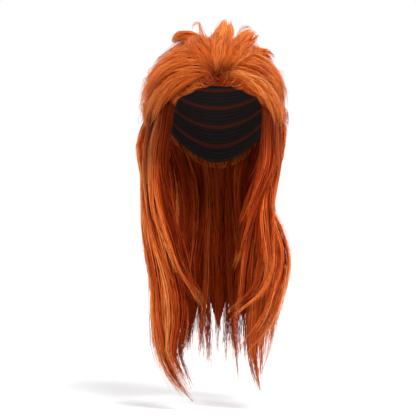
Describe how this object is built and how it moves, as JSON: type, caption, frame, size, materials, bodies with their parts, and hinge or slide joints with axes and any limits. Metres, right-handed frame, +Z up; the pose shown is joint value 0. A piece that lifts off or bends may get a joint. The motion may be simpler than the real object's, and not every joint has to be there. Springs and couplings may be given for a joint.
{
  "type": "cosplay wig",
  "caption": "Long copper-orange mullet wig: a net cap with teased, spiky short locks over the crown and straight long locks that hang in front of the shoulders and down the back.",
  "frame": {"origin": "the inside top of the cap, where the crown of the head sits", "axes": "+Z up, the face opening looks along -Y, +X is on the right as seen from the front"},
  "size_m": [0.224, 0.2358, 0.5659],
  "materials": {
    "cap_net": "matt stretch net with sewn wefts",
    "long_hair": "smooth, glossy synthetic fibre in deep copper orange",
    "crown_hair": "teased, softly glossy synthetic fibre in bright copper orange"
  },
  "bodies": {
    "root": {"wig_cap": "cap_net", "fall_left_outer": "long_hair", "fall_left_middle": "long_hair", "fall_left_inner": "long_hair", "fall_left_lower": "long_hair", "fall_right_outer": "long_hair", "fall_right_middle": "long_hair", "fall_right_flick": "long_hair", "fall_right_inner": "long_hair", "fall_right_strand": "long_hair", "back_middle": "long_hair", "back_left_inner": "long_hair", "back_right_inner": "long_hair", "back_left_outer": "long_hair", "back_right_outer": "long_hair", "back_left_side": "long_hair", "back_right_side": "long_hair", "back_left_strand": "long_hair", "back_right_strand": "long_hair", "layer_middle": "crown_hair", "layer_left_back": "crown_hair", "layer_right_back": "crown_hair", "layer_left_mid": "crown_hair", "layer_right_mid": "crown_hair", "layer_left_ear": "crown_hair", "layer_right_ear": "crown_hair", "crown_back_middle": "crown_hair", "crown_back_left": "crown_hair", "crown_back_right": "crown_hair", "crown_side_left": "crown_hair", "crown_side_right": "crown_hair", "wing_left_low": "crown_hair", "wing_right_low": "crown_hair", "wing_left_mid": "crown_hair", "wing_right_mid": "crown_hair", "wing_left_high": "crown_hair", "wing_right_high": "crown_hair", "crown_left": "crown_hair", "crown_right": "crown_hair", "quiff_left": "crown_hair", "quiff_right": "crown_hair", "quiff_middle": "crown_hair", "spike_left_curl": "crown_hair", "spike_left_wisp": "crown_hair", "spike_middle": "crown_hair", "spike_right": "crown_hair", "spike_far_right": "crown_hair"}
  },
  "joints": []
}
